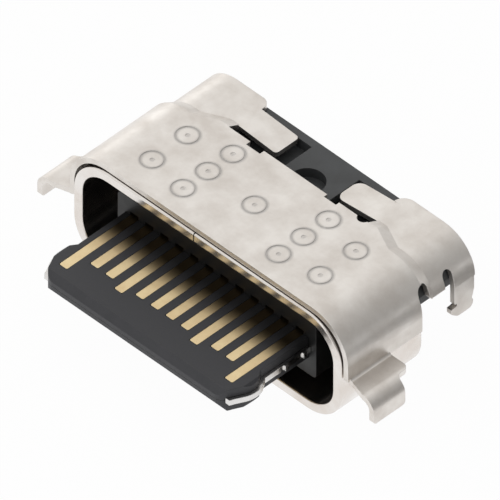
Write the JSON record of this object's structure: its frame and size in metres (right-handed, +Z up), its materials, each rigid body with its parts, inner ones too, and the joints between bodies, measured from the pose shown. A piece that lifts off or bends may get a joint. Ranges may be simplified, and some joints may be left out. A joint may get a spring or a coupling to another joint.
{
  "type": "usb-c socket",
  "caption": "Mid-mount USB-C socket: thick rolled inner shell, welded sheet cover with board legs, and a contact tongue that stands out in front of the mouth.",
  "frame": {"origin": "centre of the mouth, in the plane of the inner shell's front edge", "axes": "+X to the right across the mouth, +Y back into the socket, +Z up out of the board's top face"},
  "size_m": [0.0112, 0.0075, 0.0033],
  "materials": {
    "nickel_plate": "nickel plate, satin",
    "satin_sheet": "nickel-plated stainless sheet, satin",
    "bare_steel": "bright stamped edge",
    "housing_plastic": "moulded, matte",
    "tongue_plastic": "moulded, matte",
    "contact_gold": "pale gold plate, satin"
  },
  "bodies": {
    "root": {"inner_shell": "nickel_plate", "outer_cover": "satin_sheet", "housing": "housing_plastic", "upper_insulator": "tongue_plastic", "lower_insulator": "tongue_plastic", "mid_plate": "bare_steel", "upper_contact_1": "contact_gold", "upper_contact_2": "contact_gold", "upper_contact_3": "contact_gold", "upper_contact_4": "contact_gold", "upper_contact_5": "contact_gold", "upper_contact_6": "contact_gold", "upper_contact_7": "contact_gold", "upper_contact_8": "contact_gold", "upper_contact_9": "contact_gold", "upper_contact_10": "contact_gold", "upper_contact_11": "contact_gold", "upper_contact_12": "contact_gold", "lower_contact_1": "contact_gold", "lower_contact_2": "contact_gold", "lower_contact_3": "contact_gold", "lower_contact_4": "contact_gold", "lower_contact_5": "contact_gold", "lower_contact_6": "contact_gold", "lower_contact_7": "contact_gold", "lower_contact_8": "contact_gold", "lower_contact_9": "contact_gold", "lower_contact_10": "contact_gold", "lower_contact_11": "contact_gold", "lower_contact_12": "contact_gold"}
  },
  "joints": []
}
